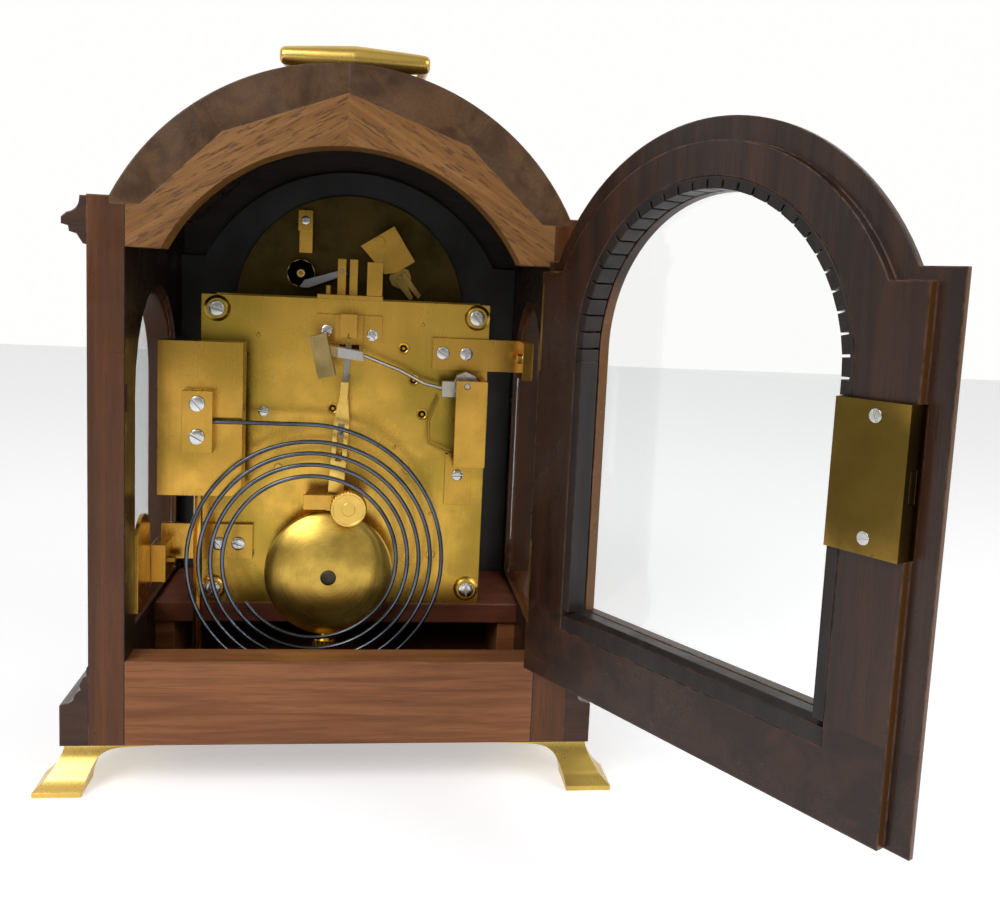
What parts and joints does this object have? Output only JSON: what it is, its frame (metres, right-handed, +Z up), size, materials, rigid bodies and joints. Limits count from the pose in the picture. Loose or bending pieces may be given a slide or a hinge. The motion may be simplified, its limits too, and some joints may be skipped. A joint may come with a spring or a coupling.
{
  "type": "bracket clock",
  "caption": "Arched wooden bracket clock, seen from behind with its glazed door open: a brass fusee movement with pendulum, striking hammer and flat spiral gong.",
  "frame": {"origin": "on the floor under the middle of the wooden case, at the soles of the feet", "axes": "+Z up, the dial faces -Y, the back door's side is +Y, +X is to the right of someone who reads the dial"},
  "size_m": [0.36, 0.3766, 0.3774],
  "materials": {
    "mahogany": "french polished",
    "oak": "waxed",
    "black_bead": "ebonised",
    "black_board": "matt black",
    "glass": "clear",
    "case_brass": "aged, lacquered",
    "hinge_brass": "dull",
    "plate_brass": "polished",
    "wheel_brass": "fine grained",
    "bob_brass": "turned",
    "dial_brass": "matted",
    "silvered": "silvered, satin",
    "blued_steel": "blued",
    "grey_steel": "polished",
    "lock_brass": "dull",
    "gut": "natural gut"
  },
  "bodies": {
    "case": {"side_panel_left": "mahogany", "side_panel_right": "mahogany", "roof_staves": "mahogany", "rear_arch_frame": "oak", "front_arch_frame": "oak", "carcass_boards": "oak", "case_mouldings": "mahogany", "side_window_panes": "glass", "feet": "case_brass", "seat_board": "oak", "dial_mask": "black_board", "handle_posts": "case_brass", "case_hinge_leaves": "hinge_brass", "dial_plate": "dial_brass", "silvered_rings": "silvered", "arch_cocks": "plate_brass", "back_plate": "plate_brass", "front_plate": "plate_brass", "plate_pillars": "plate_brass", "movement_screws": "grey_steel", "case_brackets": "plate_brass", "fusee_lines": "gut", "back_cocks": "plate_brass", "suspension_bridge": "plate_brass", "hammer_cock": "plate_brass", "gong_block": "plate_brass", "gong_coil": "blued_steel"},
    "handle": {"carrying_handle": "case_brass"},
    "back_door": {"back_door_frame": "mahogany", "back_door_glass": "glass", "back_door_beads": "black_bead", "lock_case": "lock_brass", "back_door_hinge_leaves": "hinge_brass"},
    "lock_bolt": {"lock_bolt": "lock_brass"},
    "front_door": {"front_door_frame": "mahogany", "front_door_glass": "glass", "front_door_hinge_leaves": "hinge_brass"},
    "centre": {"centre_arbor": "wheel_brass", "minute_hand": "blued_steel"},
    "hour": {"hour_wheel": "wheel_brass", "hour_hand": "blued_steel"},
    "minute_wheel": {"minute_wheel": "wheel_brass"},
    "going_fusee": {"going_fusee": "wheel_brass"},
    "strike_fusee": {"strike_fusee": "wheel_brass"},
    "going_barrel": {"going_barrel": "wheel_brass"},
    "strike_barrel": {"strike_barrel": "wheel_brass"},
    "third": {"third_arbor": "wheel_brass"},
    "escape": {"escape_arbor": "wheel_brass"},
    "pallets": {"pallets_and_crutch": "grey_steel"},
    "pin_wheel": {"pin_wheel_arbor": "wheel_brass"},
    "warning": {"warning_arbor": "wheel_brass"},
    "fly": {"fly_arbor": "wheel_brass"},
    "pendulum": {"pendulum_rod": "plate_brass", "pendulum_bob": "bob_brass"},
    "rating_nut": {"rating_nut": "bob_brass"},
    "regulation": {"regulation_hand": "blued_steel"},
    "rise_fall": {"rise_fall_lever": "grey_steel"},
    "silent": {"silent_hand": "blued_steel"},
    "hammer": {"hammer": "grey_steel"},
    "holdfast": {"holdfast_screw": "plate_brass"}
  },
  "joints": [
    {"name": "handle_swing", "type": "hinge", "parent": "case", "child": "handle", "pos_m": [-0.002, 0, 0.3706], "axis": [1, 0, 0], "range_deg": [0, 180]},
    {"name": "back_door_swing", "type": "hinge", "parent": "case", "child": "back_door", "pos_m": [-0.1022, 0.08798, 0.15], "axis": [0, 0, 1], "range_deg": [-119.94, 0]},
    {"name": "lock_bolt_slide", "type": "slide", "parent": "back_door", "child": "lock_bolt", "axis": [-0.4991, 0.8665, 0], "range_m": [0, 0.006]},
    {"name": "front_door_swing", "type": "hinge", "parent": "case", "child": "front_door", "pos_m": [0.1022, -0.08798, 0.15], "axis": [0, 0, 1], "range_deg": [0, 95]},
    {"name": "escape_spin", "type": "hinge", "parent": "case", "child": "escape", "pos_m": [-0.0015, 0, 0.2089], "axis": [0, 1, 0], "continuous": true},
    {"name": "third_spin", "type": "hinge", "parent": "case", "child": "third", "pos_m": [0.0065, 0, 0.19], "axis": [0, 1, 0], "continuous": true},
    {"name": "centre_spin", "type": "hinge", "parent": "case", "child": "centre", "pos_m": [0, 0, 0.163], "axis": [0, 1, 0], "continuous": true},
    {"name": "minute_wheel_spin", "type": "hinge", "parent": "case", "child": "minute_wheel", "pos_m": [0, -0.047, 0.143], "axis": [0, 1, 0], "continuous": true},
    {"name": "hour_spin", "type": "hinge", "parent": "case", "child": "hour", "pos_m": [0, -0.05, 0.163], "axis": [0, 1, 0], "continuous": true},
    {"name": "going_fusee_spin", "type": "hinge", "parent": "case", "child": "going_fusee", "pos_m": [0.036, 0, 0.156], "axis": [0, 1, 0], "continuous": true},
    {"name": "going_barrel_spin", "type": "hinge", "parent": "case", "child": "going_barrel", "pos_m": [0.051, 0, 0.107], "axis": [0, 1, 0], "continuous": true},
    {"name": "fly_spin", "type": "hinge", "parent": "case", "child": "fly", "pos_m": [-0.0318, 0, 0.225], "axis": [0, 1, 0], "continuous": true},
    {"name": "warning_spin", "type": "hinge", "parent": "case", "child": "warning", "pos_m": [-0.0381, 0, 0.2075], "axis": [0, 1, 0], "continuous": true},
    {"name": "pin_wheel_spin", "type": "hinge", "parent": "case", "child": "pin_wheel", "pos_m": [-0.0434, 0, 0.1882], "axis": [0, 1, 0], "continuous": true},
    {"name": "strike_fusee_spin", "type": "hinge", "parent": "case", "child": "strike_fusee", "pos_m": [-0.036, 0, 0.156], "axis": [0, 1, 0], "continuous": true},
    {"name": "strike_barrel_spin", "type": "hinge", "parent": "case", "child": "strike_barrel", "pos_m": [-0.051, 0, 0.107], "axis": [0, 1, 0], "continuous": true},
    {"name": "pendulum_swing", "type": "hinge", "parent": "case", "child": "pendulum", "pos_m": [-0.0015, 0.028, 0.2305], "axis": [0, 1, 0], "range_deg": [-1.8, 8.2]},
    {"name": "pallets_swing", "type": "hinge", "parent": "case", "child": "pallets", "pos_m": [-0.0015, 0, 0.2305], "axis": [0, 1, 0], "range_deg": [-1.8, 8.2]},
    {"name": "rating_nut_turn", "type": "hinge", "parent": "pendulum", "child": "rating_nut", "pos_m": [0.00799, 0.0272, 0.06076], "axis": [-0.0558, 0, 0.9984], "continuous": true},
    {"name": "regulation_turn", "type": "hinge", "parent": "case", "child": "regulation", "pos_m": [0.03, -0.05, 0.2645], "axis": [0, 1, 0], "range_deg": [-150, 150]},
    {"name": "rise_fall_turn", "type": "hinge", "parent": "case", "child": "rise_fall", "pos_m": [0.0042, -0.03, 0.2666], "axis": [0, 1, 0], "range_deg": [-6, 6]},
    {"name": "silent_turn", "type": "hinge", "parent": "case", "child": "silent", "pos_m": [-0.03, -0.05, 0.2645], "axis": [0, 1, 0], "range_deg": [0, 60]},
    {"name": "hammer_swing", "type": "hinge", "parent": "case", "child": "hammer", "pos_m": [-0.066, 0.02, 0.2075], "axis": [0, 1, 0], "range_deg": [-5, 16], "stiffness_Nm_per_rad": 0.1, "springref_deg": -11.46},
    {"name": "holdfast_turn", "type": "hinge", "parent": "case", "child": "holdfast", "pos_m": [-0.0043, 0.035, 0.1392], "axis": [0, 1, 0], "continuous": true}
  ],
  "couplings": [
    {"joint": "centre_spin", "follows": "going_fusee_spin", "ratio": -10},
    {"joint": "third_spin", "follows": "going_fusee_spin", "ratio": 140},
    {"joint": "escape_spin", "follows": "going_fusee_spin", "ratio": -1680},
    {"joint": "minute_wheel_spin", "follows": "going_fusee_spin", "ratio": 3.3333},
    {"joint": "hour_spin", "follows": "going_fusee_spin", "ratio": -0.83333},
    {"joint": "going_barrel_spin", "follows": "going_fusee_spin", "ratio": 0.63158},
    {"joint": "pin_wheel_spin", "follows": "strike_fusee_spin", "ratio": -10},
    {"joint": "warning_spin", "follows": "strike_fusee_spin", "ratio": 100},
    {"joint": "fly_spin", "follows": "strike_fusee_spin", "ratio": -800},
    {"joint": "strike_barrel_spin", "follows": "strike_fusee_spin", "ratio": 0.63158},
    {"joint": "pallets_swing", "follows": "pendulum_swing", "ratio": 1},
    {"joint": "rise_fall_turn", "follows": "regulation_turn", "ratio": 0.04}
  ]
}
